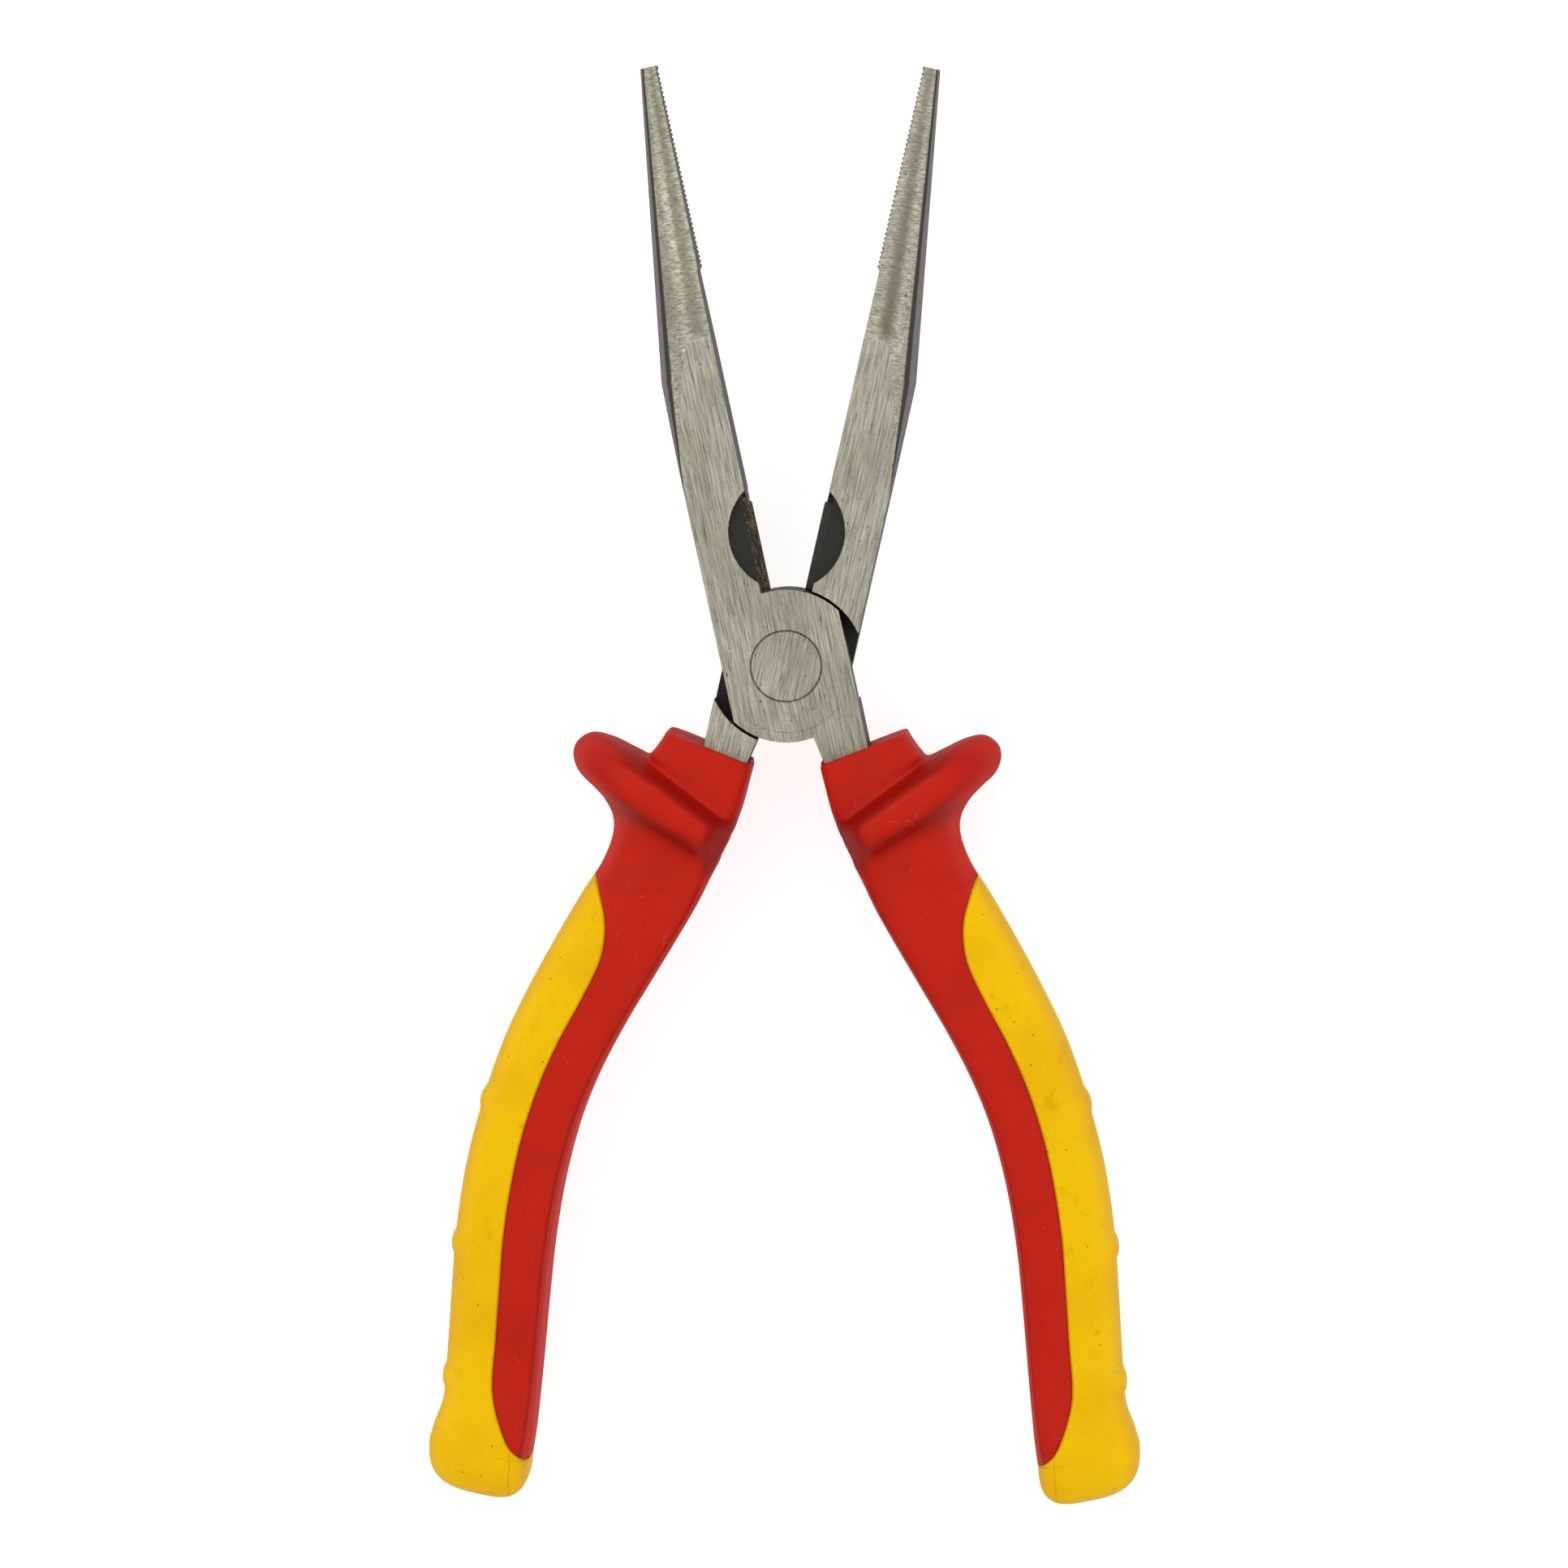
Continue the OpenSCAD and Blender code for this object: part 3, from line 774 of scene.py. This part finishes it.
def yellow_material(name, half):
    """Soft grip rubber with a fine grain, dark specks, a few greasy smudges and painted shade on
    its narrow sides.
    """
    shader = Shader(name)
    at = shader.half_space(half)
    mottled = shader.noise(at.place, 0.09, 2)
    dusting = shader.noise(at.place, 2.2, 4, 0.7)
    colour = shader.mix(shader.ramp(mottled, 0.4, 0.75, 0, 0.7), YELLOW, YELLOW_DEEP)
    colour = shader.mix(shader.ramp(dusting, 0.3, 0.7, 0, 0.45), colour, YELLOW_DEEP)
    # Painted shade on the narrow sides.
    colour = shader.mix(shader.ramp(at.face_on, 0.75, 0.1, 0, 0.42), colour, STAIN_AND_SIDE_SHADE)
    smudge = shader.ramp(shader.noise(at.place, 0.3, 3, 0.5), 0.6, 0.78, 0, 0.3)
    colour = shader.mix(smudge, colour, STAIN_AND_SIDE_SHADE)
    foot_seam = shader.off(at.x, shader.ramp_line(at.y, *FOOT_SEAM))
    foot_seam = shader.times(shader.ramp(foot_seam, 0.13, 0.04),
                             shader.ramp(at.y, *FOOT_SEAM_START), 0.38)
    colour = shader.mix(foot_seam, colour, STAIN_AND_SIDE_SHADE)
    colour = shader.mix(shader.spots(at.place, 0.42, 0.075, 0.03, 0.75), colour, SPECK)
    seam = shader.times(shader.ramp(at.height, 0.12, 0.04), shader.ramp(at.face_on, 0.5, 0.3), 0.5)
    colour = shader.mix(seam, colour, STAIN_AND_SIDE_SHADE)
    # Painted shade in the groove between the colours.
    colour = shader.mix(shader.times(shader.groove(), 0.4), colour, GROOVE_SHADE)
    grain = shader.noise(at.place, 6.0, 3, 0.6)
    shader.set(Base_Color=colour, Roughness=0.6, Specular_IOR_Level=0.08,
               Normal=shader.bump(grain, 0.03, 0.5))
    return shader.material


def sleeve_material():
    """The inner insulation: yellow plastic with flow marks."""
    shader = Shader("inner_insulation")
    place = shader.half_space("front").place
    flow = shader.noise(shader.stretched(place, 1.0, 0.15, 1.0), 1.2, 3)
    shader.set(Base_Color=shader.mix(flow, YELLOW_DEEP, YELLOW), Roughness=0.5,
               Normal=shader.bump(flow, 0.05, 0.4))
    return shader.material


# --- the CAD pieces that stay --------------------------------------------------------
EDGE_WIDTH = 0.06
EDGE_ANGLE_DEG = 40
FLAT_ANGLE_DEG = 0.3
WELD_DISTANCE = 0.002


def paint(node_name, material):
    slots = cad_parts[node_name].data.materials
    slots.clear()
    slots.append(material)


def soften_edges(node_name):
    """A fine ground edge on the forgings, so that their corners catch the light."""
    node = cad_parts[node_name]
    weld = node.modifiers.new("weld", "WELD")
    weld.merge_threshold = WELD_DISTANCE * MM
    flat = node.modifiers.new("flats", "DECIMATE")
    flat.decimate_type = "DISSOLVE"
    flat.angle_limit = math.radians(FLAT_ANGLE_DEG)
    edge = node.modifiers.new("edge", "BEVEL")
    edge.width = EDGE_WIDTH * MM
    edge.segments = 2
    edge.limit_method = "ANGLE"
    edge.angle_limit = math.radians(EDGE_ANGLE_DEG)
    edge.harden_normals = False


def finish_steel():
    sleeve = sleeve_material()
    for half in HALVES:
        paint(half + "_forging", steel_material(half + "_steel", half))
        soften_edges(half + "_forging")
        paint(half + "_inner_sleeve", sleeve)
    paint("pivot_rivet", steel_material("rivet_steel", "back", rivet=True))


# --- stage: metres from here on --------------------------------------------------------
VIEW_RIGHT_DEG = 2.75
VIEW_UP_DEG = 4.3
VIEW_TURN_DEG = 0.24
CAMERA_DISTANCE = 1.0
FIELD_WIDTH = 0.2100
# Of the camera, in millimetres.
SENSOR_WIDTH = 36.0
AIM = Vector((-0.0002, -0.0158, 0.0098))
FLOOR_REACH = 2.5
FLOOR_GREY = 0.45
FLOOR_GLOW = 0.78
WORLD_STRENGTH = 0.62
LAMP_SIZE = 1.2
# Where each lamp stands, and its power.
LAMPS = {"key": ((-0.6, 0.7, 1.3), 7), "fill": ((0.9, 0.1, 1.0), 3)}


def set_camera():
    data = bpy.data.cameras.new("view")
    data.sensor_width = SENSOR_WIDTH
    data.lens = SENSOR_WIDTH * CAMERA_DISTANCE / FIELD_WIDTH
    data.clip_end = 10
    camera = bpy.data.objects.new("view", data)
    bpy.context.scene.collection.objects.link(camera)
    direction = Vector((math.tan(math.radians(VIEW_RIGHT_DEG)),
                        math.tan(math.radians(VIEW_UP_DEG)), 1)).normalized()
    camera.location = AIM + direction * CAMERA_DISTANCE
    right = Vector((0, 1, 0)).cross(direction).normalized()
    look = Matrix((right, direction.cross(right), direction)).transposed()
    camera.rotation_euler = (look @ Matrix.Rotation(math.radians(VIEW_TURN_DEG), 3, "Z")).to_euler()
    bpy.context.scene.camera = camera


def add_floor():
    mesh = bpy.data.meshes.new("floor")
    far, z = FLOOR_REACH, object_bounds()[0][2]
    mesh.from_pydata([(-far, -far, z), (far, -far, z), (far, far, z), (-far, far, z)],
                     [], [(0, 1, 2, 3)])
    floor = bpy.data.objects.new("floor", mesh)
    bpy.context.scene.collection.objects.link(floor)
    shader = Shader("pale_floor")
    shader.set(Base_Color=(FLOOR_GREY, FLOOR_GREY, FLOOR_GREY, 1), Roughness=0.9,
               Specular_IOR_Level=0.1, Emission_Color=(1, 1, 1, 1), Emission_Strength=FLOOR_GLOW)
    mesh.materials.append(shader.material)


def add_lamp(name, where, power):
    data = bpy.data.lights.new(name, "AREA")
    data.size = LAMP_SIZE
    data.energy = power
    lamp = bpy.data.objects.new(name, data)
    lamp.location = where
    lamp.rotation_euler = (-Vector(where)).to_track_quat("-Z", "Y").to_euler()
    bpy.context.scene.collection.objects.link(lamp)


def set_light():
    world = bpy.data.worlds.new("studio")
    world.use_nodes = True
    background = world.node_tree.nodes["Background"]
    background.inputs["Color"].default_value = (1, 1, 1, 1)
    background.inputs["Strength"].default_value = WORLD_STRENGTH
    bpy.context.scene.world = world
    for name, (where, power) in LAMPS.items():
        add_lamp(name, where, power)
    bpy.context.scene.view_settings.view_transform = "Standard"


set_camera()
set_light()
build_handles()
finish_steel()
add_floor()
